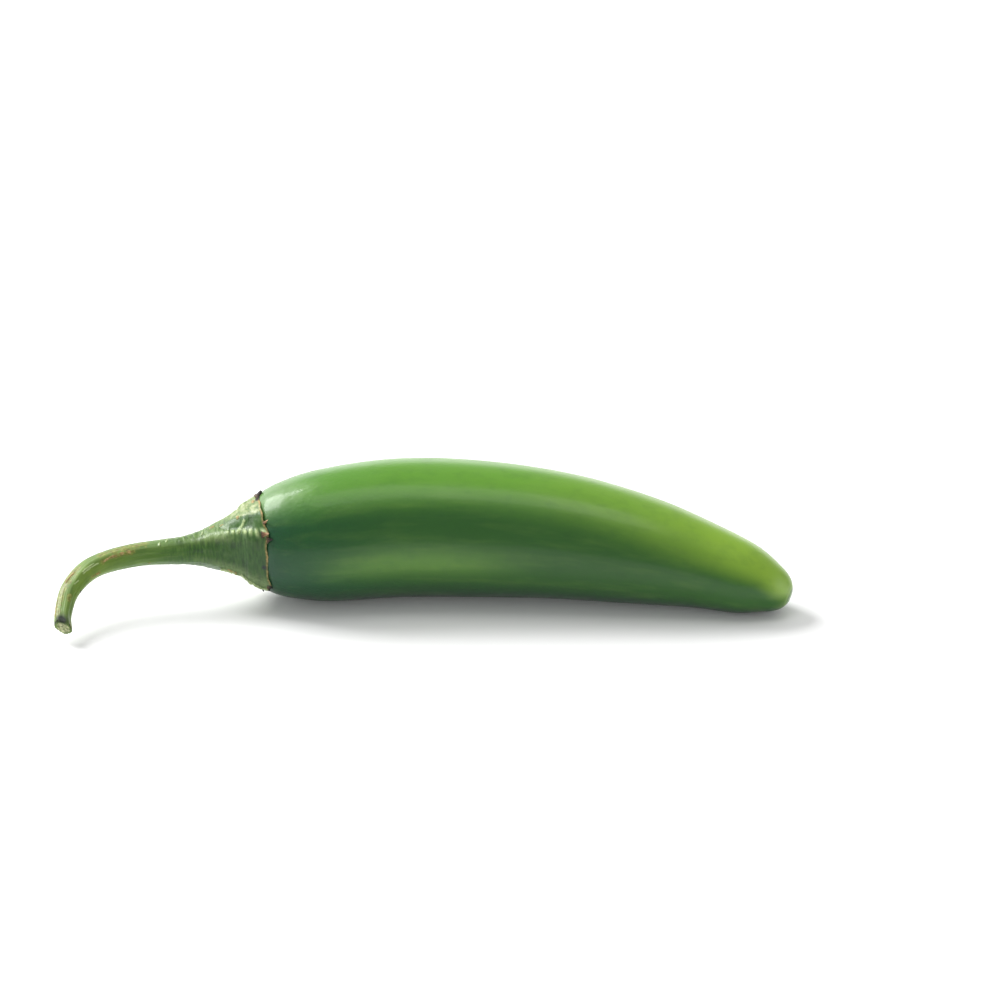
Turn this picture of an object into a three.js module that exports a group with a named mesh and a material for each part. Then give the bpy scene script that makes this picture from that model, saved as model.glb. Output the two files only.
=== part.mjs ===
// A green chilli pepper that lies on its side: the pod, and the calyx with the stem grown out of it.
// Millimetres, +Z up. The origin is on the surface that the pepper lies on, under the middle of its
// box. +X runs from the stem to the tip of the pod, and the stem hooks round towards -Y.

import * as THREE from "three";
import { mergeVertices } from "three/addons/utils/BufferGeometryUtils.js";

const degrees = Math.PI / 180;

// Middle of the box, in the frame that the axis points below are given in.
const boxMiddle = new THREE.Vector2(-10.98, -3.72);

// The one axis that stem, calyx and pod grow along, from the cut end of the stem to the pod's tip.
const axisPoints = [
  [-64.2, -18.2, 2.6],
  [-64.4, -15.5, 3.8],
  [-63.5, -11.5, 5.75],
  [-60.4, -7.4, 7.4],
  [-54.5, -5.0, 8.3],
  [-46.5, -3.95, 8.7],
  [-36.0, -2.2, 9.0],
  [-26.0, -0.6, 9.5],
  [-15.0, 0.8, 10.1],
  [-3.0, 0.7, 9.9],
  [9.0, -0.4, 9.3],
  [20.0, -2.3, 8.1],
  [30.0, -4.4, 6.4],
  [38.0, -6.5, 4.5],
  [43.3, -8.1, 2.9],
];
// Length of the axis from the cut end of the stem to the calyx rim. Every station below is a
// distance along the axis from the rim: below zero towards the stem, above zero towards the tip.
const stemLength = 38.8;

// Pod: station and radius, from the dome under the calyx to the dimple at the tip.
const podProfile = [
  [-1.9, 0],
  [-1.75, 2.6],
  [-1.3, 4.8],
  [-0.5, 6.4],
  [0.4, 7.35],
  [1.8, 8.1],
  [4, 8.85],
  [9, 9.9],
  [17, 10.35],
  [27, 10.4],
  [38, 10],
  [49, 9.15],
  [59, 7.9],
  [67, 6.5],
  [73.5, 5.3],
  [77.4, 3.7],
  [79.6, 2.4],
  [80.5, 1.2],
  [80.1, 0],
];
const podSides = 40;
const podStepsPerPoint = 3;
// The pod is not quite round: two soft waves run round it and drift along its length.
const podLobes = [
  { count: 2, depth: 0.012, phase: 70 * degrees, drift: 1 / 60 },
  { count: 3, depth: 0.008, phase: 85 * degrees, drift: -1 / 45 },
];

// Calyx and stem: the outer skin from the cut end to the rim, then the cup that the pod's dome
// sits in, back to the axis.
const cutRadius = 1.22;
const rimStation = -0.95;
const rimRadius = 6.4;
const stemProfile = [
  [-36, 1.26],
  [-32, 1.42],
  [-28, 1.57],
  [-24, 1.62],
];
const calyxProfile = [
  [-20, 1.7],
  [-17, 1.76],
  [-14, 1.93],
  [-11.1, 2.2],
  [-9.4, 2.55],
  [-8, 3.05],
  [-6.6, 3.6],
  [-4.7, 4.35],
  [-3.4, 5.1],
  [-2.9, 5.6],
  [-1.9, 6.1],
  [rimStation, rimRadius],
];
const cupProfile = [
  [-1.2, 6.0],
  [-1.55, 5.35],
  [-2.0, 4.3],
  [-2.25, 2.4],
  [-2.35, 0],
];
const calyxSides = 40;
const stemStepsPerPoint = 5;
const calyxStepsPerPoint = 2;
// Five ribs run up the calyx. Each starts from a dried tooth at the rim and turns a little as it
// runs into the stem.
const ribCount = 5;
const ribAngle = 35 * degrees;
const ribTurn = 25 * degrees;
const ribTurnLength = 12;
const ribHeight = { stem: 0.12, calyx: 0.42 };
const ribGrowth = { from: -12, to: -3 };
const ribSharpness = 1.5;
const ribMiddle = 0.4;
const toothSharpness = 8;
const toothReach = 0.75;
const toothRise = 0.65;
const toothLength = 1.6;
const toothDepth = 0.5;

const materials = {
  pod: new THREE.MeshStandardMaterial({ color: 0x4a7a2e, roughness: 0.28, metalness: 0 }),
  calyx: new THREE.MeshStandardMaterial({ color: 0x5d8a3c, roughness: 0.5, metalness: 0 }),
};

const axis = new THREE.CatmullRomCurve3(
  axisPoints.map(([x, y, z]) => new THREE.Vector3(x - boxMiddle.x, y - boxMiddle.y, z)),
  false,
  "catmullrom",
  0.5,
);
axis.arcLengthDivisions = 600;
const axisLength = axis.getLength();
const upwards = new THREE.Vector3(0, 0, 1);

// Point at a radius and an angle round the axis. Angle 0 faces -Y and 90 degrees faces up.
function aroundAxis(station, radius, angle) {
  const share = THREE.MathUtils.clamp((stemLength + station) / axisLength, 0, 1);
  const along = axis.getTangentAt(share);
  const side = new THREE.Vector3().crossVectors(along, upwards).normalize();
  const up = new THREE.Vector3().crossVectors(side, along);
  return axis
    .getPointAt(share)
    .addScaledVector(side, radius * Math.cos(angle))
    .addScaledVector(up, radius * Math.sin(angle));
}

// Lathe points for [station, radius] pairs, and a smooth line of them through the pairs.
function lathePoints(pairs) {
  return pairs.map(([station, radius]) => new THREE.Vector2(radius, station));
}

function smoothProfile(pairs, stepsPerPoint) {
  return new THREE.SplineCurve(lathePoints(pairs)).getPoints(stepsPerPoint * (pairs.length - 1));
}

// Turns a profile into a closed solid and bends it onto the axis. The shape function gives each
// vertex its own station and radius. What would reach below the surface is pressed flat on it.
function growAlongAxis(profile, sides, startAngle, shape) {
  const geometry = new THREE.LatheGeometry(profile, sides, -startAngle);
  geometry.deleteAttribute("normal");
  geometry.deleteAttribute("uv");
  const position = geometry.getAttribute("position");
  for (let i = 0; i < position.count; i += 1) {
    const across = Math.hypot(position.getX(i), position.getZ(i));
    const angle = Math.atan2(-position.getX(i), position.getZ(i));
    const { station, radius } = shape(position.getY(i), across, angle);
    const point = aroundAxis(station, radius, angle);
    position.setXYZ(i, point.x, point.y, Math.max(point.z, 0));
  }
  const merged = mergeVertices(geometry);
  merged.computeVertexNormals();
  return merged;
}

function podShape(station, radius, angle) {
  const waves = podLobes.reduce(
    (sum, lobe) => sum + lobe.depth * Math.cos(lobe.count * (angle - lobe.phase) + lobe.drift * station),
    0,
  );
  return { station, radius: radius * (1 + waves) };
}

// 1 on the crest of a rib and 0 halfway to the next one.
function ribCrest(station, angle) {
  const turn = ribTurn * THREE.MathUtils.smoothstep(-station, 0, ribTurnLength);
  return 0.5 + 0.5 * Math.cos(ribCount * (angle - ribAngle - turn));
}

// Ribs fade out towards the axis, on the cut face and in the cup, and teeth stand on the rim alone.
function calyxShape(station, radius, angle) {
  const { smoothstep, lerp } = THREE.MathUtils;
  const crest = ribCrest(station, angle);
  const height = lerp(ribHeight.stem, ribHeight.calyx, smoothstep(station, ribGrowth.from, ribGrowth.to));
  const rib = smoothstep(radius, cutRadius / 2, cutRadius) * height * (crest ** ribSharpness - ribMiddle);
  const nearRim = smoothstep(station, rimStation - toothLength, rimStation);
  const onSkin = smoothstep(radius, rimRadius - toothDepth, rimRadius - toothDepth / 4);
  const tooth = nearRim * onSkin * crest ** toothSharpness;
  return { station: station + toothReach * tooth, radius: radius + rib + toothRise * tooth };
}

function makePod() {
  const geometry = growAlongAxis(smoothProfile(podProfile, podStepsPerPoint), podSides, 0, podShape);
  return new THREE.Mesh(geometry, materials.pod);
}

function makeCalyxAndStem() {
  const cutMiddle = lathePoints([[-stemLength, 0]]);
  const stem = smoothProfile([[-stemLength, cutRadius], ...stemProfile], stemStepsPerPoint);
  const calyx = smoothProfile([stemProfile.at(-1), ...calyxProfile], calyxStepsPerPoint);
  const profile = [...cutMiddle, ...stem, ...calyx.slice(1), ...lathePoints(cupProfile)];
  const geometry = growAlongAxis(profile, calyxSides, ribAngle, calyxShape);
  return new THREE.Mesh(geometry, materials.calyx);
}

const pepper = new THREE.Group();
const pod = makePod();
pod.name = "pod";
const calyxAndStem = makeCalyxAndStem();
calyxAndStem.name = "calyx_and_stem";
pepper.add(pod, calyxAndStem);

export default pepper;
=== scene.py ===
"""A green chilli pepper that lies on its side, dressed for a photograph.

The pod, the calyx and the stem all grow along one axis. Each skin is spun straight round that axis
from its profile, given its ribs, wrinkles and scars while it is straight, and then bent onto the axis.
Sizes are millimetres until a skin is finished. Stations run along the axis from the calyx rim, below
zero towards the cut end of the stem and above zero towards the tip of the pod. Angles run round the
axis: 0 faces the camera's side of the pepper, and 90 degrees faces up.
"""
import math
from types import SimpleNamespace

import bmesh
import bpy
import numpy as np
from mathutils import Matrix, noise


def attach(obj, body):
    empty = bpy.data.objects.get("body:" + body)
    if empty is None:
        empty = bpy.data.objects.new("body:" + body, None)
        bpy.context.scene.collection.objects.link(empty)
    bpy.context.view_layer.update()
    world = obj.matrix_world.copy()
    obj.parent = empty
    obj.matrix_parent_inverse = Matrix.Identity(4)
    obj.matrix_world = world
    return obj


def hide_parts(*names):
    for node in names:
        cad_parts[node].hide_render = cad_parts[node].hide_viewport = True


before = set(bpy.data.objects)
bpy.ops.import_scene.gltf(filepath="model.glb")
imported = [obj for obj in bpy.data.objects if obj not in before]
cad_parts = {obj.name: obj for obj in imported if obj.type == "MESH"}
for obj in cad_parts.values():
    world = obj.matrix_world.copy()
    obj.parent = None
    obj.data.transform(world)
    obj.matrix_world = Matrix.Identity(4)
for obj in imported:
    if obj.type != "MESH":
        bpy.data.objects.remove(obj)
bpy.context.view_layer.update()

MM = 0.001
FULL_TURN = 2 * math.pi

# The axis, in the frame that its points are given in, and the middle of the pepper's box there.
BOX_MIDDLE = (-10.98, -3.72, 0)
AXIS_POINTS = [
    (-64.2, -18.2, 2.6),
    (-64.4, -15.5, 3.8),
    (-63.5, -11.5, 5.75),
    (-60.4, -7.4, 7.4),
    (-54.5, -5.0, 8.3),
    (-46.5, -3.95, 8.7),
    (-36.0, -2.2, 9.0),
    (-26.0, -0.6, 9.5),
    (-15.0, 0.8, 10.1),
    (-3.0, 0.7, 9.9),
    (9.0, -0.4, 9.3),
    (20.0, -2.3, 8.1),
    (30.0, -4.4, 6.4),
    (38.0, -6.5, 4.5),
    (43.3, -8.1, 2.9),
]
STEM_LENGTH = 38.8
AXIS_OVERRUN = 3.0

# Pod: (station, radius) from the dome under the calyx to the blunt end at the tip.
POD_PROFILE = [
    (-1.9, 0),
    (-1.75, 2.6),
    (-1.3, 4.8),
    (-0.5, 6.4),
    (0.4, 7.35),
    (1.8, 8.1),
    (4, 8.85),
    (9, 9.9),
    (17, 10.35),
    (27, 10.4),
    (38, 10),
    (49, 9.15),
    (59, 7.9),
    (67, 6.5),
    (73.5, 5.3),
    (77.4, 3.7),
    (78.6, 3.12),
    (79.5, 2.45),
    (80.05, 1.75),
    (80.34, 1.1),
    (80.44, 0.55),
    (80.44, 0),
]
POD_SIDES = 200
POD_STEP = 0.4
POD_LOBES = [
    SimpleNamespace(count=2, depth=0.012, phase=math.radians(70), drift=1 / 60),
    SimpleNamespace(count=3, depth=0.008, phase=math.radians(85), drift=-1 / 45),
]
POD_UNDULATION = 0.09
POD_UNDULATION_LENGTH = (7, 7, 14)
SHOULDER_DIMPLES = 0.016
TIP_PUCKER = 0.04

# Calyx and stem: the cut face, the stem, the calyx, and the cup that is grown onto the pod's dome.
RIM_STATION = -0.1
CUT_RADIUS = 1.22
CUT_PROFILE = [
    (-STEM_LENGTH - 0.05, 0),
    (-STEM_LENGTH - 0.08, 0.45),
    (-STEM_LENGTH - 0.02, 0.85),
    (-STEM_LENGTH + 0.02, 1.08),
    (-STEM_LENGTH + 0.16, CUT_RADIUS),
]
STEM_PROFILE = [
    CUT_PROFILE[-1],
    (-STEM_LENGTH + 0.6, 1.25),
    (-36, 1.26),
    (-32, 1.42),
    (-28, 1.57),
    (-24, 1.62),
    (-20, 1.7),
    (-17, 1.76),
]
CALYX_PROFILE = [
    STEM_PROFILE[-1],
    (-14, 1.93),
    (-11.1, 2.2),
    (-9.4, 2.55),
    (-8, 3.05),
    (-6.6, 3.6),
    (-4.7, 4.35),
    (-3.5, 5.0),
    (-3.0, 5.55),
    (-1.9, 6.2),
    (-0.9, 6.72),
    (RIM_STATION, 7.12),
]
CUP_PROFILE = [
    CALYX_PROFILE[-1],
    (-0.03, 6.98),
    (-0.25, 6.5),
    (-0.7, 5.9),
    (-1.2, 4.2),
    (-1.5, 2),
    (-1.55, 0),
]
# Points round the calyx and stem, and how far apart they are along each part of it.
CALYX_SIDES = 264
CUT_STEP = 0.12
STEM_STEP = 0.17
CALYX_STEP = 0.09
CUP_STEP = 0.6
# Five ribs run up the calyx, and turn a little as they run into the stem.
RIB_COUNT = 5
RIB_ANGLE = math.radians(35)
RIB_TURN = math.radians(25)
RIB_TURN_LENGTH = 12
RIB_HEIGHT_STEM = 0.12
RIB_HEIGHT_CALYX = 0.46
RIB_MIDDLE = 0.4
BEAD_LENGTH = 0.82
LIP_WIDTH = 0.4
SCAB_HEIGHT = 0.09
# How much the cut is set back in the middle, and its slant as a rise for each millimetre across.
CUT_SET_BACK = 0.23
CUT_SLANT = 0.52

# Camera: its place in millimetres, how far it is tipped up from straight down, and its lens.
CAMERA_PLACE = (10.98, -806.19, 392.73)
CAMERA_TIP = math.radians(65)
CAMERA_LENS = 216
CAMERA_SENSOR = 36

# Light: places and sizes in millimetres, powers in watts, and the room's brightness.
LIGHT_AIM = (0, 0, 8)
KEY_PLACE = (-560, 350, 610)
KEY_SIZE = (460, 460)
KEY_POWER = 10.4
OVERHEAD_PLACE = (0, -70, 900)
OVERHEAD_SIZE = (600, 380)
OVERHEAD_POWER = 1.35
ROOM_DIM = 0.5
FLOOR_GLOW = 0.055
ROOM_BRIGHT = 1.8
ROOM_BRIGHT_SIDE = (-0.5, 0.866, 0)
ROOM_TURN = (-0.1, 0.6)
ROOM_RISE = (0.25, 0.5)


def smoothstep(value, low, high):
    """0 below low, 1 above high, and a smooth climb between them."""
    share = np.clip((value - low) / (high - low), 0, 1)
    return share * share * (3 - 2 * share)


def hump(away, width):
    """1 where away is 0, and a bell-shaped fall to nearly 0 at twice the width."""
    return np.exp(-((away / width) ** 2))


def spline(points, steps):
    """Catmull-Rom curve through the points, whose ends are repeated to close it off."""
    points = [np.array(point, float) for point in points]
    ends = [points[0], *points, points[-1]]
    line = []
    for before, start, end, after in zip(ends, ends[1:], ends[2:], ends[3:]):
        for step in range(steps):
            t = step / steps
            slope_in = (end - before) / 2
            slope_out = (after - start) / 2
            line.append(
                start
                + slope_in * t
                + (3 * (end - start) - 2 * slope_in - slope_out) * t**2
                + (2 * (start - end) + slope_in + slope_out) * t**3
            )
    line.append(points[-1])
    return np.array(line)


def lengths_along(line):
    """Distance of each point of a line from its start."""
    return np.concatenate([[0], np.cumsum(np.linalg.norm(np.diff(line, axis=0), axis=1))])


def make_axis():
    """Dense points of the axis and their stations, with a straight overrun at both ends."""
    points = [np.array(point, float) - BOX_MIDDLE for point in AXIS_POINTS]
    ends = [2 * points[0] - points[1], *points, 2 * points[-1] - points[-2]]
    steps = 60
    line = spline(ends, steps)[steps:-steps]
    stations = lengths_along(line) - STEM_LENGTH
    start = line[0] - AXIS_OVERRUN * unit(line[1] - line[0])
    end = line[-1] + AXIS_OVERRUN * unit(line[-1] - line[-2])
    line = np.vstack([start, line, end])
    stations = np.concatenate([[stations[0] - AXIS_OVERRUN], stations, [stations[-1] + AXIS_OVERRUN]])
    return line, stations


def unit(vectors):
    """The vectors at length 1."""
    return vectors / np.linalg.norm(vectors, axis=-1, keepdims=True)


AXIS_LINE, AXIS_STATIONS = make_axis()


def on_axis(station):
    """Points of the axis at the stations."""
    return np.stack([np.interp(station, AXIS_STATIONS, AXIS_LINE[:, k]) for k in range(3)], axis=-1)


def around_axis(station, radius, angle):
    """Points at the stations, radii and angles round the axis."""
    half_step = 0.15
    along = unit(on_axis(station + half_step) - on_axis(station - half_step))
    side = unit(np.cross(along, (0, 0, 1)))
    up = np.cross(side, along)
    across = side * np.cos(angle)[..., None] + up * np.sin(angle)[..., None]
    return on_axis(station) + radius[..., None] * across


def evenly(profile, spacing):
    """The smooth profile through its points, with points a spacing apart."""
    line = spline(profile, 24)
    lengths = lengths_along(line)
    count = max(2, round(lengths[-1] / spacing))
    at = np.linspace(0, lengths[-1], count + 1)
    return np.stack([np.interp(at, lengths, line[:, k]) for k in range(2)], axis=-1)


def spun_skin(name, profile, sides):
    """A closed skin spun round Z from its profile, as a mesh that is still straight."""
    bm = bmesh.new()
    chain = bmesh.ops.create_vert(bm, co=(profile[0][1], 0, profile[0][0]))["vert"]
    for station, radius in profile[1:]:
        chain = bmesh.ops.extrude_vert_indiv(bm, verts=chain)["verts"]
        chain[0].co = (radius, 0, station)
    outline = bm.verts[:] + bm.edges[:]
    turning = {"axis": (0, 0, 1), "cent": (0, 0, 0), "angle": FULL_TURN, "steps": sides}
    bmesh.ops.spin(bm, geom=outline, **turning, use_merge=True)
    bmesh.ops.remove_doubles(bm, verts=bm.verts[:], dist=1e-4)
    bmesh.ops.recalc_face_normals(bm, faces=bm.faces[:])
    mesh = bpy.data.meshes.new(name)
    bm.to_mesh(mesh)
    bm.free()
    return mesh


def read_skin(mesh):
    """Stations, radii, angles and straight places of a spun mesh's vertices."""
    straight = np.empty(len(mesh.vertices) * 3)
    mesh.vertices.foreach_get("co", straight)
    straight = straight.reshape(-1, 3)
    angle = np.arctan2(-straight[:, 1], straight[:, 0])
    return SimpleNamespace(
        straight=straight,
        station=straight[:, 2],
        radius=np.hypot(straight[:, 0], straight[:, 1]),
        angle=angle,
        ring=np.stack([np.cos(angle), np.sin(angle), straight[:, 2]], axis=-1),
    )


def finish_skin(mesh, skin, station, radius, masks):
    """Bends a straight skin onto the axis, presses it on the floor, and stores its masks on it."""
    place = around_axis(station, radius, skin.angle)
    place[:, 2] = np.maximum(place[:, 2], 0)
    mesh.vertices.foreach_set("co", (place * MM).ravel())
    grown = mesh.attributes.new("grown", "FLOAT_VECTOR", "POINT")
    grown.data.foreach_set("vector", skin.straight.ravel())
    for name, values in masks.items():
        mask = mesh.attributes.new(name, "FLOAT", "POINT")
        mask.data.foreach_set("value", np.clip(values, 0, 1))
    mesh.shade_smooth()
    mesh.update()
    return link(mesh)


def link(mesh):
    """A new object in the scene that shows the mesh and has its name."""
    piece = bpy.data.objects.new(mesh.name, mesh)
    bpy.context.scene.collection.objects.link(piece)
    return piece


def ripple(points, wavelength, shift=0.0):
    """Smooth noise from about -1 to 1 at the points, with a wavelength for each of their axes."""
    return np.array([noise.noise(point) for point in (points / np.array(wavelength) + shift).tolist()])


def turned(angle, from_degrees):
    """Angle from a direction given in degrees, between minus and plus half a turn."""
    return (angle - math.radians(from_degrees) + math.pi) % FULL_TURN - math.pi


def streak(skin, start, end, width, ragged, grain):
    """Mask of a streak on the skin between two (station, degrees) places, width wide, with a torn edge."""
    along = skin.station - start[0]
    round_it = skin.radius * turned(skin.angle, start[1])
    reach_along = end[0] - start[0]
    reach_round = skin.radius * math.radians(end[1] - start[1])
    reach = reach_along**2 + reach_round**2 + 1e-9
    share = np.clip((along * reach_along + round_it * reach_round) / reach, 0, 1)
    away = np.hypot(along - share * reach_along, round_it - share * reach_round)
    mask = 1 - away / width
    near = mask > -ragged
    mask[near] += ragged * ripple(skin.straight[near], (grain,) * 3, start[0])
    mask[near] += 0.5 * ragged * ripple(skin.straight[near], (grain / 2.7,) * 3, start[1])
    return smoothstep(mask, 0, 0.55)


def streaks(skin, marks, ragged, grain):
    """Mask of all the marks together."""
    return np.clip(sum(streak(skin, *mark, ragged, grain) for mark in marks), 0, 1)


def pod_shade(skin):
    """How much painted light the pod gets: painted lighter on top, and further down the sides towards the
    tip.
    """
    sun_degrees = 100 - 16 * smoothstep(skin.station, 45, 72)
    toward_sun = np.cos(skin.angle - np.radians(sun_degrees))
    drift = 0.1 * ripple(skin.straight, (9, 9, 26), 1.7)
    late = smoothstep(skin.station, 28, 46)
    last = smoothstep(skin.station, 62, 74)
    end = smoothstep(skin.station, 75, 79.5)
    shade_start = 0.42 - 0.2 * late + 0.06 * last - 0.35 * end
    shade_width = 0.5 + 0.3 * late - 0.22 * last + 0.4 * end
    return smoothstep(toward_sun + drift - shade_start, 0, shade_width)


def pod_masks(skin, at_tip, pucker):
    """Where each tone of the pod's skin lies, the painted light, shade, reflection and highlights among
    them.
    """
    # Painted light and shade: the top is painted lighter and the underside darker, as the light falls on
    # them.
    painted_lit_side = pod_shade(skin)
    blunt_end = smoothstep(skin.station, 77.5, 79.5) * (1 - smoothstep(skin.radius, 0.6, 3.4))
    flank_length = smoothstep(skin.station, 4, 18) * (1 - smoothstep(skin.station, 26, 46))
    # The crease round the tip is only painted: a pale ring as its lit edge and a dark ring as the shade in
    # it.
    crease_lit_edge = at_tip * hump(skin.radius - 1.5 + 0.12 * pucker, 0.2)
    crease_shade_and_scar_dot = at_tip * hump(skin.radius - 1.12 + 0.12 * pucker, 0.14)
    # Painted highlight: a pale haze on top of the shoulder.
    shoulder_highlight_haze = hump(skin.station - 2.5, 3.2) * hump(turned(skin.angle, 84), 0.34)
    return {
        "painted_lit_side": painted_lit_side + (0.5 - painted_lit_side) * blunt_end,
        # Painted shade: the underside is painted darker, less so at the blunt end.
        "under": smoothstep(-np.sin(skin.angle), 0.3, 0.9) * (1 - 0.6 * blunt_end),
        "shoulder_highlight_haze": shoulder_highlight_haze * (0.85 + 0.3 * pucker),
        # Painted reflection: a lighter green band low on the side of the pod.
        "green_reflection": flank_length * hump(turned(skin.angle, -5), math.radians(13)),
        "scar": at_tip * (1 - smoothstep(skin.radius, 1.1, 1.5)),
        # Painted highlight: a soft pale patch on the upper side of the tip.
        "tip_highlight": hump(skin.station - 78.9, 1.3) * hump(turned(skin.angle, 47), 0.42),
        # Painted highlight: the pale edge of the crease round the tip.
        "crease_lit_edge": crease_lit_edge * (0.7 + 0.6 * pucker),
        # Painted shade in the crease round the tip, with the scar's own dark dot at the middle.
        "crease_shade_and_scar_dot": crease_shade_and_scar_dot + at_tip * (1 - smoothstep(skin.radius, 0.15, 0.35)),
    }


def make_pod():
    """The pod, with its soft lobes, its slight undulation and the scar at its blunt tip."""
    mesh = spun_skin("pod_skin", evenly(POD_PROFILE, POD_STEP), POD_SIDES)
    skin = read_skin(mesh)
    waves = sum(
        lobe.depth * np.cos(lobe.count * (skin.angle - lobe.phase) + lobe.drift * skin.station)
        for lobe in POD_LOBES
    )
    body = smoothstep(skin.radius, 0.5, 4)
    undulation = POD_UNDULATION * body * ripple(skin.straight, POD_UNDULATION_LENGTH, 3.1)
    radius = skin.radius * (1 + waves) + undulation
    shoulder_top = (1 - smoothstep(skin.station, 8, 26)) * smoothstep(np.sin(skin.angle), 0.5, 0.8) * body
    radius += SHOULDER_DIMPLES * shoulder_top * ripple(skin.straight, (1.2, 1.2, 1.5), 17.0)
    at_tip = smoothstep(skin.station, 79.6, 80.1)
    pucker = ripple(skin.straight, (0.8, 0.8, 0.8), 41.0)
    station = skin.station + TIP_PUCKER * at_tip * pucker
    return finish_skin(mesh, skin, station, radius, pod_masks(skin, at_tip, pucker))


# Marks on the calyx and stem: where each streak starts and ends, in (station, degrees), and its width.
# Scabs are tan and raised, stains are flat and speckled, and ridges are pale lines. The lip is a pale
# crinkled strip that runs through its points, low on the calyx.
SCABS = [
    ((-24.3, 38), (-23.3, 43), 0.2),
    ((-23.0, 45), (-22.2, 48), 0.22),
    ((-21.4, 50), (-20.9, 49), 0.26),
    ((-20.2, 49), (-19.9, 48), 0.22),
    ((-17.2, -30), (-17.0, -27), 0.22),
    ((-6.1, 86), (-5.9, 84), 0.2),
    ((-3.75, 81), (-3.7, 76), 0.24),
    ((-7.6, 96), (-7.2, 98), 0.22),
    ((-5.6, -30), (-4.6, -33), 0.18),
    ((-1.15, 97), (-1.05, 92), 0.28),
    ((-31.2, 112), (-29.2, 102), 0.15),
    ((-36.9, 146), (-35.4, 138), 0.2),
    ((-26.4, -6), (-25.8, -10), 0.16),
    ((-30.5, 195), (-28.5, 203), 0.26),
    ((-12.5, 200), (-11.2, 196), 0.3),
    ((-3.4, 176), (-2.9, 182), 0.35),
]
STAINS = [
    ((-24.0, 84), (-17.5, 82), 0.95),
    ((-24.6, 40), (-19.4, 48), 0.45),
    ((-37.2, 138), (-34.0, 124), 0.75),
    ((-34.0, 116), (-28.5, 100), 0.75),
    ((-33.9, 66), (-33.4, 58), 0.6),
    ((-27.5, 0), (-25.6, -4), 0.3),
    ((-29.5, 210), (-23.0, 190), 0.8),
    ((-38.7, 20), (-38.2, 30), 0.5),
]
RIDGES = [
    ((-28.6, 50), (-25.4, 42), 0.14),
    ((-28.4, 58), (-26.0, 52), 0.12),
    ((-31.0, 55), (-30.2, 48), 0.12),
    ((-3.0, 62), (-3.9, 50), 0.34),
    ((-15.4, 56), (-15.3, 74), 0.16),
    ((-14.3, 76), (-14.2, 90), 0.16),
    ((-9.1, 78), (-8.9, 90), 0.2),
]
LIP_PATH = [(-6.6, -38), (-5.4, -37), (-3.7, -37), (-2.6, -43), (-1.0, -49), (0.0, -46)]
DARK_MARKS = [
    ((-38.8, 140), (-38.5, 180), 0.36),
    ((-38.8, 5), (-38.6, 40), 0.22),
    ((-0.2, -38), (0.0, -44), 0.62),
    ((-0.4, 93), (-0.1, 107), 0.55),
    ((-30.9, -10), (-30.8, -14), 0.25),
]


def read_calyx(mesh, outer):
    """The places of the calyx and stem's skin, with what more than one of its features needs."""
    skin = read_skin(mesh)
    depth = np.interp(skin.station, outer[:, 0], outer[:, 1]) - skin.radius
    skin.outside = 1 - smoothstep(depth, 0.01, 0.12)
    skin.on_calyx = smoothstep(skin.station, -13, -3)
    skin.wrinkled = smoothstep(skin.station, -17, -8) * skin.outside
    skin.near_rim = smoothstep(skin.station, -6.6, -4.2) * skin.outside
    skin.calm = 0.6 + 0.4 * smoothstep(np.sin(skin.angle), 0.2, 0.7)
    skin.folds = ripple(skin.straight, (2.2, 2.2, 0.85), 4.0)
    skin.front = smoothstep(np.cos(turned(skin.angle, 8)), 0.55, 0.85) * skin.outside
    turn = RIB_TURN * smoothstep(-skin.station, 0, RIB_TURN_LENGTH)
    wander = 0.25 * ripple(skin.straight, (5, 5, 4), 5.0)
    skin.crest = 0.5 + 0.5 * np.cos(RIB_COUNT * (skin.angle - RIB_ANGLE - turn) + wander)
    crest_line = 37 - 3.9 * np.minimum(skin.station + 0.8, 0)
    skin.from_crest = np.degrees(turned(skin.angle - np.radians(crest_line), 0))
    return skin


def calyx_wrinkles(skin):
    """Relief of the wrinkles and folds on the calyx and of the grooves on the stem."""
    wrinkle = ripple(skin.straight, (1.7, 1.7, 0.42), 1.0)
    wrinkle += 0.5 * ripple(skin.straight, (0.7, 0.7, 0.24), 9.0)
    facets = ripple(skin.straight, (1.9, 1.9, 2.6), 14.0)
    grooves = ripple(skin.ring, (0.3, 0.3, 9), 2.0) + 0.5 * ripple(skin.ring, (0.13, 0.13, 5), 7.0)
    grain = ripple(skin.straight, (0.45, 0.45, 0.8), 6.0)
    relief = skin.wrinkled * skin.calm * (0.07 * wrinkle + 0.09 * skin.folds + 0.07 * facets)
    return relief + skin.outside * (0.05 * (1 - 0.6 * skin.on_calyx) * grooves + 0.02 * grain)


def calyx_shoulder(skin):
    """The row of beads along the front rib, with the dip above it, painted darker as shade, and then the
    pale flat above it, painted as a highlight.
    """
    uneven = 2.2 * ripple(skin.straight, (1.6, 1.6, 1.6), 23.0)
    bead_wave = 0.5 + 0.5 * np.sin(FULL_TURN * skin.station / BEAD_LENGTH + uneven)
    lifted = smoothstep(-skin.station, 2.6, 4.6)
    border = 27 + 5 * lifted + 2.5 * ripple(skin.straight, (1.5, 1.5, 1.0), 27.0)
    painted_hollow_shade = smoothstep(skin.from_crest, 3, 8) * (1 - smoothstep(skin.from_crest, border - 2, border + 2))
    flat = smoothstep(skin.from_crest, border - 1, border + 3) * (1 - smoothstep(skin.from_crest, 62, 84))
    shelf = smoothstep(skin.from_crest, 2, 30) * (1 - smoothstep(skin.from_crest, 28, 54)) * skin.near_rim
    gutter = skin.near_rim * hump(skin.from_crest - 8, 7)
    beads = skin.near_rim * hump(skin.from_crest, 4.5) * bead_wave
    return SimpleNamespace(
        beads=beads,
        painted_hollow_shade=skin.near_rim * painted_hollow_shade,
        flat=smoothstep(skin.station, -5.8, -3.4) * skin.outside * flat,
        relief=0.2 * beads + skin.radius * (0.085 * shelf - 0.02 * gutter),
    )


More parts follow.
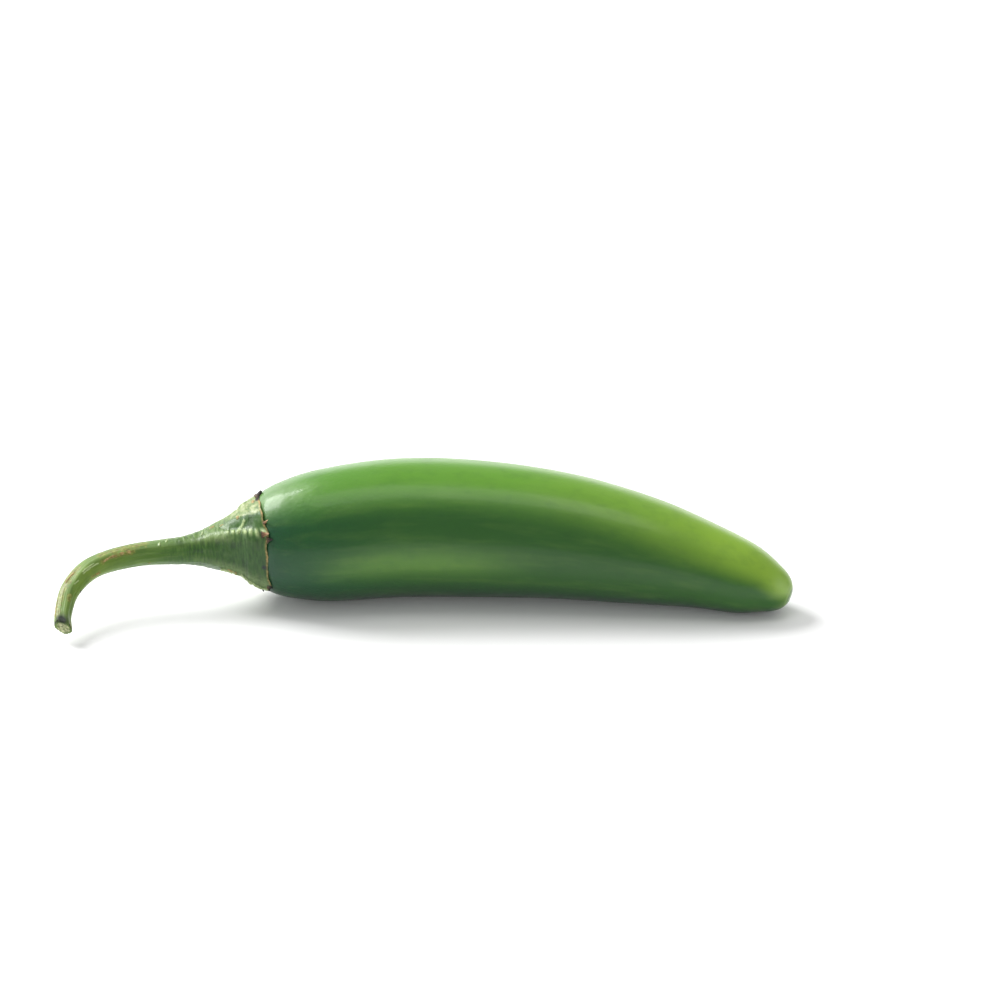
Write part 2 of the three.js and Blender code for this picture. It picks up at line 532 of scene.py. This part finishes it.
def calyx_skirt(skin):
    """The skirt under its crease, the crinkled lip low on the calyx, and the pale ridges."""
    crease = hump(skin.station + 3.05 + 0.1 * skin.folds, 0.1) * skin.front
    crease *= 0.2 + 0.8 * hump(turned(skin.angle, -20), 0.22)
    skirt = smoothstep(skin.station, -3.1, -2.85) * (1 - smoothstep(skin.station, -2.4, -1.2)) * skin.front
    lip_parts = [(start, end, LIP_WIDTH) for start, end in zip(LIP_PATH, LIP_PATH[1:])]
    lip = streaks(skin, lip_parts, 0.4, 0.7) * skin.outside
    lumps = ripple(skin.straight, (0.7, 0.7, 0.5), 21.0)
    ridge = streaks(skin, RIDGES, 0.5, 0.6) * skin.outside
    return SimpleNamespace(
        crease=crease,
        lip=lip,
        ridge=ridge,
        relief=0.07 * skirt - 0.06 * crease + lip * (0.36 + 0.2 * lumps) + 0.1 * ridge,
    )


def cut_end(skin):
    """The cut end of the stem: its pale flesh, how far it slants, and the dark smudge beside it."""
    cut = smoothstep(-skin.station, STEM_LENGTH - 0.25, STEM_LENGTH - 0.1)
    near_cut = smoothstep(-skin.station, STEM_LENGTH - 2.4, STEM_LENGTH)
    uneven = 0.12 * ripple(skin.ring, (0.5, 0.5, 1), 5.0)
    flesh = cut * (1 - smoothstep(skin.radius + uneven, 0.85, 1.02))
    fibre = ripple(skin.straight, (0.2, 0.2, 0.4), 12.0)
    slant = CUT_SLANT * skin.radius * np.cos(turned(skin.angle, -15))
    smudge = 1.3 * hump(skin.station + STEM_LENGTH - 0.5, 1.3) * hump(turned(skin.angle, 98), 0.75)
    smudge *= 1 + 0.25 * ripple(skin.straight, (0.7, 0.7, 0.7), 3.0)
    return SimpleNamespace(
        flesh=flesh,
        shift=0.16 * cut * fibre + near_cut * (CUT_SET_BACK - slant),
        smudge=smudge * (1 - 0.8 * flesh),
    )


def make_calyx_and_stem():
    """The stem and calyx as one skin: cut face, grooves, scabs, ribs, wrinkles, skirt and dry rim."""
    outer = np.vstack([evenly(STEM_PROFILE, STEM_STEP)[:-1], evenly(CALYX_PROFILE, CALYX_STEP)])
    profile = np.vstack([evenly(CUT_PROFILE, CUT_STEP)[:-1], outer[:-1], evenly(CUP_PROFILE, CUP_STEP)])
    mesh = spun_skin("calyx_and_stem_skin", profile, CALYX_SIDES)
    skin = read_calyx(mesh, outer)
    outside = skin.outside
    shoulder = calyx_shoulder(skin)
    skirt = calyx_skirt(skin)
    end = cut_end(skin)

    height = RIB_HEIGHT_STEM + (RIB_HEIGHT_CALYX - RIB_HEIGHT_STEM) * skin.on_calyx
    rib = outside * height * (skin.crest**1.5 - RIB_MIDDLE)
    toothed = smoothstep(skin.station, -2.4, RIM_STATION) * skin.crest**6 * outside
    ragged = smoothstep(skin.station, -0.8, RIM_STATION) * outside * ripple(skin.ring, (0.22, 0.22, 9), 8.0)
    margin = smoothstep(skin.station, -0.45, -0.28) * outside * (1 - 0.35 * skin.front)
    scab = streaks(skin, SCABS, 0.8, 0.45) * outside
    relief = calyx_wrinkles(skin) + shoulder.relief + skirt.relief
    radius = skin.radius + rib + relief + 0.12 * toothed + SCAB_HEIGHT * scab
    station = skin.station + 0.45 * toothed + 0.16 * ragged + end.shift

    bruise_round = skin.radius * turned(skin.angle, -8)
    bruise = hump((skin.station + 0.65) ** 2 + bruise_round**2, 0.38**2)
    # The rib tops are paler, more so on the upper ribs: partly their own paler tissue, and partly painted
    # highlight.
    rib_top = outside * skin.crest**3 * skin.on_calyx * skin.calm
    rib_top *= 1 - skin.near_rim * hump(skin.from_crest, 30)
    # Painted shade: the side below the front rib, towards the camera, is painted darker.
    shaded_front_side = smoothstep(-skin.from_crest, 2, 7) * smoothstep(np.cos(turned(skin.angle, -10)), 0.3, 0.7)
    masks = {
        "dry": margin * (0.8 + 0.6 * ragged) + 0.9 * scab,
        "dark": streaks(skin, DARK_MARKS, 0.4, 0.5) * outside,
        "stain": streaks(skin, STAINS, 0.9, 0.6) * outside,
        # Pale tone: partly the own paler tissue of the ribs, lip and ridges, and partly painted highlight
        # on the upper ribs and on the beads, where they catch the light.
        "pale": 0.55 * rib_top + 1.5 * skirt.lip + 0.8 * skirt.ridge + 1.5 * shoulder.beads,
        # Painted highlight: the flat on top of the calyx near the rim is painted pale.
        "facet": shoulder.flat,
        # Painted shade in the band between the beads and the flat.
        "painted_hollow_shade": shoulder.painted_hollow_shade,
        "smudge": end.smudge,
        "bruise": bruise * outside,
        "cut": end.flesh,
        # Painted light: the top of the calyx and stem is painted lighter.
        "painted_lit_side": smoothstep(np.sin(skin.angle), 0.45, 0.9) * outside,
        # Painted shade on the side below the front rib.
        "front": skin.on_calyx * outside * shaded_front_side,
        # Painted shade: darker in the crease under the skirt and in the low folds of the wrinkles.
        "groove": skirt.crease + 0.5 * smoothstep(-skin.folds, 0.1, 0.6) * outside * skin.wrinkled,
    }
    return finish_skin(mesh, skin, station, radius, masks)


def colour(red, green, blue):
    """A screen colour of 0 to 255 as the linear colour that a shader takes."""
    def linear(value):
        value /= 255
        return value / 12.92 if value <= 0.04045 else ((value + 0.055) / 1.055) ** 2.4

    return (linear(red), linear(green), linear(blue), 1)


def node(tree, kind, inputs, **settings):
    """A new node with its settings, whose inputs are linked to sockets or set to values."""
    made = tree.nodes.new(kind)
    for name, value in settings.items():
        setattr(made, name, value)
    for name, value in inputs.items():
        if isinstance(value, bpy.types.NodeSocket):
            tree.links.new(value, made.inputs[name])
        else:
            made.inputs[name].default_value = value
    return made


def attribute(tree, name, output="Fac"):
    """What a mesh attribute holds."""
    return node(tree, "ShaderNodeAttribute", {}, attribute_name=name).outputs[output]


def mix(tree, share, first, second):
    """First colour where share is 0 and second where it is 1."""
    factor, colour_a, colour_b, result = 0, 6, 7, 2
    made = node(tree, "ShaderNodeMix", {factor: share, colour_a: first, colour_b: second}, data_type="RGBA")
    return made.outputs[result]


def math_node(tree, operation, *values):
    """The result of a sum of the given kind."""
    inputs = dict(enumerate(values))
    return node(tree, "ShaderNodeMath", inputs, operation=operation).outputs[0]


def span(tree, value, low, high, to_low=0.0, to_high=1.0):
    """A value from low to high, brought to the second range and held in it."""
    inputs = {"Value": value, "From Min": low, "From Max": high, "To Min": to_low, "To Max": to_high}
    return node(tree, "ShaderNodeMapRange", inputs).outputs["Result"]


def part_of(tree, name, share):
    """A share of what a mesh attribute holds."""
    return math_node(tree, "MULTIPLY", attribute(tree, name), share)


def speckle(tree, places, size, detail=3.0, roughness=0.5):
    """Noise of about 0 to 1 whose specks have the given (x, y, z) size in the places' own unit."""
    scaled = node(tree, "ShaderNodeMapping", {"Vector": places, "Scale": tuple(1 / s for s in size)})
    inputs = {"Vector": scaled.outputs[0], "Scale": 1.0, "Detail": detail, "Roughness": roughness}
    return node(tree, "ShaderNodeTexNoise", inputs).outputs["Fac"]


def ramp(tree, value, stops):
    """A colour ramp through (position, colour) stops."""
    made = node(tree, "ShaderNodeValToRGB", {"Fac": value})
    elements = made.color_ramp.elements
    while len(elements) < len(stops):
        elements.new(0.5)
    for element, (position, shade) in zip(elements, stops):
        element.position = position
        element.color = shade
    return made.outputs["Color"]


def new_material(name, **settings):
    """A material, its node tree and its shader, whose sockets take the settings."""
    material = bpy.data.materials.new(name)
    material.use_nodes = True
    tree = material.node_tree
    shader = tree.nodes["Principled BSDF"]
    for socket, value in settings.items():
        shader.inputs[socket.replace("_", " ")].default_value = value
    return material, tree, shader


def pod_material():
    """Waxy green skin, dark at the shoulder and yellow-green to the tip, faintly mottled, with painted
    light, shade, reflection and highlights.
    """
    material, tree, shader = new_material(
        "pod_skin",
        IOR=1.38,
        Coat_Weight=0.34,
        Coat_Roughness=0.14,
        Coat_IOR=1.4,
        Subsurface_Weight=0.12,
        Subsurface_Radius=(0.6, 1.0, 0.25),
        Subsurface_Scale=1.2 * MM,
    )
    grown = attribute(tree, "grown", "Vector")
    parts = node(tree, "ShaderNodeSeparateXYZ", {"Vector": grown})
    along = span(tree, parts.outputs["Z"], 0, 80)
    drift = speckle(tree, grown, (6, 6, 14), 2.0)
    along = math_node(tree, "ADD", along, span(tree, drift, 0.3, 0.7, -0.04, 0.04))
    # Painted shade: the colours of the shaded side, from the shoulder to the tip.
    shady = ramp(
        tree,
        along,
        [
            (0.0, colour(14, 70, 40)),
            (0.12, colour(24, 80, 32)),
            (0.25, colour(38, 88, 28)),
            (0.7, colour(42, 90, 28)),
            (1.0, colour(46, 98, 30)),
        ],
    )
    # Painted light: the colours of the lit top, from the shoulder to the tip.
    painted_lit_side = ramp(
        tree,
        along,
        [
            (0.0, colour(78, 126, 50)),
            (0.15, colour(82, 136, 38)),
            (0.45, colour(96, 148, 42)),
            (0.7, colour(114, 158, 48)),
            (0.85, colour(132, 173, 50)),
            (1.0, colour(139, 178, 54)),
        ],
    )
    # Painted shade: the underside is darker still.
    shady = mix(tree, attribute(tree, "under"), shady, colour(8, 60, 32))
    # Painted light and shade: the lit colours on top and the shaded ones below.
    skin = mix(tree, attribute(tree, "painted_lit_side"), shady, painted_lit_side)
    # Painted reflection: a lighter green band low on the side of the pod.
    skin = mix(tree, attribute(tree, "green_reflection"), skin, colour(84, 130, 46))
    # Painted highlight: a soft pale patch on the upper side of the tip.
    skin = mix(tree, attribute(tree, "tip_highlight"), skin, colour(156, 190, 98))
    # Painted highlight: a pale haze on top of the shoulder.
    skin = mix(tree, part_of(tree, "shoulder_highlight_haze", 0.22), skin, colour(172, 186, 156))
    streaks = speckle(tree, grown, (1.6, 1.6, 12), 3.0)
    skin = mix(tree, span(tree, streaks, 0.5, 0.8, 0.0, 0.1), skin, colour(140, 176, 80))
    mottle = speckle(tree, grown, (1.8, 1.8, 2.6), 4.0)
    skin = mix(tree, span(tree, mottle, 0.5, 0.8, 0.0, 0.2), skin, colour(28, 78, 34))
    skin = mix(tree, attribute(tree, "scar"), skin, colour(98, 144, 56))
    # Painted highlight: the pale edge of the crease round the tip.
    skin = mix(tree, part_of(tree, "crease_lit_edge", 0.5), skin, colour(150, 186, 96))
    # Painted shade in the crease round the tip, with the scar's own dark dot.
    skin = mix(tree, part_of(tree, "crease_shade_and_scar_dot", 0.6), skin, colour(48, 72, 26))
    tree.links.new(skin, shader.inputs["Base Color"])
    patchy = speckle(tree, grown, (3, 3, 5), 3.0)
    rough = span(tree, patchy, 0.3, 0.7, 0.28, 0.38)
    hazy = span(tree, parts.outputs["Z"], 3, 14, 0.08, 0.0)
    tree.links.new(math_node(tree, "ADD", rough, hazy), shader.inputs["Roughness"])
    peel = speckle(tree, grown, (0.55, 0.55, 0.65), 2.0)
    peel = math_node(tree, "MULTIPLY", peel, span(tree, parts.outputs["Z"], 4, 30, 1.0, 0.35))
    bump = node(tree, "ShaderNodeBump", {"Height": peel, "Strength": 1.0, "Distance": 0.05 * MM})
    tree.links.new(bump.outputs[0], shader.inputs["Normal"])
    return material


def calyx_material():
    """Satin green stalk: pale ribs and wrinkles, tan scabs and rim, dark marks and a pale cut face, with
    painted light, shade and highlights.
    """
    material, tree, shader = new_material(
        "calyx_and_stem", IOR=1.45, Coat_Weight=0.1, Coat_Roughness=0.24
    )
    grown = attribute(tree, "grown", "Vector")
    parts = node(tree, "ShaderNodeSeparateXYZ", {"Vector": grown})
    base = ramp(
        tree,
        span(tree, parts.outputs["Z"], -39, 0),
        [
            (0.0, colour(98, 126, 40)),
            (0.3, colour(112, 140, 44)),
            (0.5, colour(88, 122, 38)),
            (0.68, colour(60, 100, 28)),
            (1.0, colour(54, 98, 28)),
        ],
    )
    # Painted light: lighter on top.
    base = mix(tree, part_of(tree, "painted_lit_side", 0.5), base, colour(112, 140, 66))
    blotch = speckle(tree, grown, (1.6, 1.6, 3), 4.0)
    base = mix(tree, span(tree, blotch, 0.4, 0.75, 0.0, 0.45), base, colour(44, 84, 26))
    along_stem = span(tree, parts.outputs["Z"], -16, -10)
    threads = speckle(tree, grown, (0.35, 0.35, 5), 3.0)
    wrinkles = speckle(tree, grown, (1.4, 1.4, 0.32), 3.0)
    lines = node(tree, "ShaderNodeMix", {0: along_stem, 2: threads, 3: wrinkles}).outputs[0]
    base = mix(tree, span(tree, lines, 0.5, 0.75, 0.0, 0.26), base, colour(134, 158, 84))
    # Painted shade: darker on the side below the front rib, towards the camera.
    base = mix(tree, part_of(tree, "front", 0.65), base, colour(34, 74, 22))
    # Painted shade: dark lines in the low parts of the wrinkle pattern on the calyx.
    painted_crease_shade = math_node(tree, "MULTIPLY", span(tree, wrinkles, 0.34, 0.5, 0.55, 0.0), along_stem)
    base = mix(tree, painted_crease_shade, base, colour(24, 54, 20))
    stain_specks = speckle(tree, grown, (0.32, 0.32, 0.5), 4.0, 0.6)
    stain_colours = ramp(
        tree,
        stain_specks,
        [
            (0.3, colour(84, 58, 28)),
            (0.42, colour(118, 108, 46)),
            (0.58, colour(132, 144, 58)),
            (0.72, colour(192, 178, 112)),
        ],
    )
    base = mix(tree, part_of(tree, "stain", 0.75), base, stain_colours)
    # Painted shade in the band between the beads and the flat.
    base = mix(tree, part_of(tree, "painted_hollow_shade", 0.85), base, colour(42, 86, 18))
    # Painted shade: darker in the crease under the skirt and in the low folds of the wrinkles.
    base = mix(tree, part_of(tree, "groove", 0.8), base, colour(28, 56, 22))
    # Pale tone: partly paler tissue of the ribs, lip and ridges, and partly painted highlight on the upper
    # ribs and the beads.
    pale_specks = speckle(tree, grown, (0.5, 0.5, 0.35), 3.0)
    pale = part_of(tree, "pale", span(tree, pale_specks, 0.3, 0.6, 0.35, 0.8))
    base = mix(tree, pale, base, colour(190, 208, 148))
    # Painted highlight: the flat on top near the rim, pale with green specks.
    facet_specks = speckle(tree, grown, (1.0, 1.0, 0.8), 5.0, 0.62)
    facet_tones = ramp(
        tree,
        facet_specks,
        [
            (0.34, colour(66, 96, 36)),
            (0.46, colour(116, 138, 72)),
            (0.56, colour(150, 162, 108)),
            (0.68, colour(180, 188, 146)),
        ],
    )
    base = mix(tree, part_of(tree, "facet", 0.9), base, facet_tones)
    flecks = speckle(tree, grown, (0.35, 0.35, 0.35), 4.0)
    dry = part_of(tree, "dry", span(tree, flecks, 0.25, 0.55, 0.55, 1.0))
    tan = mix(tree, span(tree, flecks, 0.35, 0.65), colour(122, 96, 50), colour(190, 160, 104))
    base = mix(tree, dry, base, tan)
    fibres = speckle(tree, grown, (0.3, 0.3, 0.5), 4.0)
    flesh = mix(tree, span(tree, fibres, 0.35, 0.65), colour(88, 108, 50), colour(206, 206, 158))
    base = mix(tree, attribute(tree, "cut"), base, flesh)
    base = mix(tree, attribute(tree, "smudge"), base, colour(24, 34, 20))
    base = mix(tree, part_of(tree, "bruise", 0.95), base, colour(24, 36, 40))
    base = mix(tree, attribute(tree, "dark"), base, colour(34, 32, 28))
    tree.links.new(base, shader.inputs["Base Color"])
    rough = span(tree, flecks, 0.3, 0.7, 0.38, 0.52)
    dull = math_node(tree, "ADD", attribute(tree, "dry"), attribute(tree, "dark"))
    dull = math_node(tree, "MULTIPLY", math_node(tree, "ADD", dull, attribute(tree, "smudge")), 0.3)
    tree.links.new(math_node(tree, "ADD", rough, dull), shader.inputs["Roughness"])
    skin_grain = speckle(tree, grown, (0.3, 0.3, 0.22), 3.0)
    height = math_node(tree, "ADD", skin_grain, math_node(tree, "MULTIPLY", lines, 0.6))
    bump = node(tree, "ShaderNodeBump", {"Height": height, "Strength": 0.5, "Distance": 0.06 * MM})
    tree.links.new(bump.outputs[0], shader.inputs["Normal"])
    return material


# Dried calyx teeth and spurs: base (station, radius, degrees), length, width, thickness, and how many
# degrees each leans out from the axis. The dark ones are almost black, and the others are tan.
TEETH = {
    "calyx_tooth_top": ((-0.2, 6.85, 103), 1.25, 1.7, 1.25, 50, "dark"),
    "calyx_tooth_front": ((-0.7, 7.4, 35), 1.15, 1.0, 0.85, 12, "tan"),
    "calyx_tooth_front_end": ((0.0, 7.45, 28), 0.9, 1.0, 0.7, 8, "dark"),
    "calyx_tooth_low": ((-0.25, 7.15, -41), 0.85, 1.1, 0.5, 18, "dark"),
    "calyx_tooth_under": ((-0.3, 7.1, -109), 1.2, 1.0, 0.55, 24, "dark"),
    "calyx_tooth_back": ((-0.3, 7.1, 179), 1.15, 1.0, 0.6, 34, "dark"),
    "rim_spur": ((-0.1, 7.15, 49), 1.3, 0.5, 0.4, 58, "tan"),
    "lower_spike": ((-0.75, 6.75, -58), 0.55, 0.55, 0.45, 75, "dark"),
}


def make_tooth(name, base, length, width, thickness, lean):
    """A dried tooth: a bent and crumpled cone that stands on the rim of the calyx."""
    bm = bmesh.new()
    bmesh.ops.create_cone(bm, cap_ends=True, segments=14, radius1=0.5, radius2=0.12, depth=1)
    sides = [edge for edge in bm.edges if abs(edge.verts[0].co.z - edge.verts[1].co.z) > 0.5]
    bmesh.ops.subdivide_edges(bm, edges=sides, cuts=9)
    mesh = bpy.data.meshes.new(name)
    bm.to_mesh(mesh)
    bm.free()
    shape = np.empty(len(mesh.vertices) * 3)
    mesh.vertices.foreach_get("co", shape)
    shape = shape.reshape(-1, 3)
    height = shape[:, 2] + 0.5
    station, radius, degrees = base
    crumple = 1 + 0.35 * ripple(shape, (0.35, 0.35, 0.3), station + degrees)
    wide = shape[:, 0] * width * crumple * (1 - 0.3 * height)
    thick = shape[:, 1] * thickness * crumple + 0.12 * length * height**2
    root, above, ahead = around_axis(
        np.array([station, station, station + 0.5]),
        np.array([radius, radius + 1, radius]),
        np.full(3, math.radians(degrees)),
    )
    outward = unit(above - root)
    onward = unit(ahead - root - np.dot(ahead - root, outward) * outward)
    sideways = np.cross(outward, onward)
    tilt = math.radians(lean)
    rise = math.cos(tilt) * onward + math.sin(tilt) * outward
    face = math.cos(tilt) * outward - math.sin(tilt) * onward
    place = root + np.outer(height * length, rise) + np.outer(thick, face) + np.outer(wide, sideways)
    place[:, 2] = np.maximum(place[:, 2], 0)
    mesh.vertices.foreach_set("co", (place * MM).ravel())
    tone = mesh.attributes.new("height", "FLOAT", "POINT")
    tone.data.foreach_set("value", height)
    mesh.shade_smooth()
    mesh.update()
    return link(mesh)


def tooth_material(name, root, middle, tip):
    """Dried brown tissue that changes from its root to its tip."""
    material, tree, shader = new_material(name, Roughness=0.62)
    places = node(tree, "ShaderNodeTexCoord", {}).outputs["Object"]
    flecks = speckle(tree, places, (0.25 * MM,) * 3, 4.0)
    height = math_node(tree, "ADD", attribute(tree, "height"), span(tree, flecks, 0.3, 0.7, -0.2, 0.2))
    base = ramp(tree, height, [(0.1, root), (0.45, middle), (0.9, tip)])
    tree.links.new(base, shader.inputs["Base Color"])
    bump = node(tree, "ShaderNodeBump", {"Height": flecks, "Strength": 0.8, "Distance": 0.08 * MM})
    tree.links.new(bump.outputs[0], shader.inputs["Normal"])
    return material


def make_floor():
    """A wide pale floor, which isn't part of the pepper."""
    bm = bmesh.new()
    bmesh.ops.create_grid(bm, x_segments=1, y_segments=1, size=2.0)
    mesh = bpy.data.meshes.new("floor")
    bm.to_mesh(mesh)
    bm.free()
    floor = link(mesh)
    material, tree, shader = new_material(
        "pale_floor",
        Roughness=0.7,
        Base_Color=(0.9, 0.9, 0.9, 1),
        Emission_Color=(1, 1, 1, 1),
        Emission_Strength=FLOOR_GLOW,
        Specular_IOR_Level=0.2,
    )
    mesh.materials.append(material)


def make_camera():
    """The camera looks down on the pepper by 25 degrees, and sees 150 mm across at its middle."""
    camera = bpy.data.cameras.new("camera")
    camera.sensor_width = CAMERA_SENSOR
    camera.lens = CAMERA_LENS
    camera.clip_start = 0.05
    camera.clip_end = 10
    holder = bpy.data.objects.new("camera", camera)
    holder.location = [value * MM for value in CAMERA_PLACE]
    holder.rotation_euler = (CAMERA_TIP, 0, 0)
    bpy.context.scene.collection.objects.link(holder)
    bpy.context.scene.camera = holder


def make_softbox(name, place, size, power):
    """A soft area light at a place, in millimetres, that faces the pepper."""
    light = bpy.data.lights.new(name, "AREA")
    light.shape = "RECTANGLE"
    light.size = size[0] * MM
    light.size_y = size[1] * MM
    light.energy = power
    holder = bpy.data.objects.new(name, light)
    holder.location = [value * MM for value in place]
    direction = unit(np.array(LIGHT_AIM, float) - np.array(place, float))
    holder.rotation_euler = (
        math.acos(-direction[2]),
        0,
        math.atan2(direction[1], direction[0]) - math.pi / 2,
    )
    bpy.context.scene.collection.objects.link(holder)


def make_room():
    """A dim room whose far side, low down, is a bright pale sweep."""
    world = bpy.data.worlds.new("studio")
    world.use_nodes = True
    tree = world.node_tree
    direction = node(tree, "ShaderNodeTexCoord", {}).outputs["Generated"]
    parts = node(tree, "ShaderNodeSeparateXYZ", {"Vector": direction})
    dot = node(tree, "ShaderNodeVectorMath", {0: direction, 1: ROOM_BRIGHT_SIDE}, operation="DOT_PRODUCT")
    behind = span(tree, dot.outputs["Value"], ROOM_TURN[0], ROOM_TURN[1])
    low = span(tree, parts.outputs["Z"], ROOM_RISE[0], ROOM_RISE[1], 1.0, 0.0)
    share = math_node(tree, "MULTIPLY", behind, low)
    strength = span(tree, share, 0, 1, ROOM_DIM, ROOM_BRIGHT)
    background = tree.nodes["Background"]
    background.inputs["Color"].default_value = (1, 1, 1, 1)
    tree.links.new(strength, background.inputs["Strength"])
    bpy.context.scene.world = world


def make_studio():
    """A soft key light from behind and left, a broad dim one overhead, and the room."""
    make_softbox("key_light", KEY_PLACE, KEY_SIZE, KEY_POWER)
    make_softbox("overhead_light", OVERHEAD_PLACE, OVERHEAD_SIZE, OVERHEAD_POWER)
    make_room()
    bpy.context.scene.view_settings.view_transform = "Standard"


make_camera()
make_studio()
make_floor()

pod = make_pod()
pod.data.materials.append(pod_material())
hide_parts("pod")
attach(pod, "root")

calyx_and_stem = make_calyx_and_stem()
calyx_and_stem.data.materials.append(calyx_material())
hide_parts("calyx_and_stem")
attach(calyx_and_stem, "root")

tooth_finishes = {
    "dark": tooth_material("dark_tooth", colour(92, 72, 48), colour(46, 36, 30), colour(34, 28, 26)),
    "tan": tooth_material("tan_tooth", colour(70, 56, 40), colour(150, 110, 78), colour(206, 170, 132)),
}
for name, (*shape, finish) in TEETH.items():
    tooth = make_tooth(name, *shape)
    tooth.data.materials.append(tooth_finishes[finish])
    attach(tooth, "root")
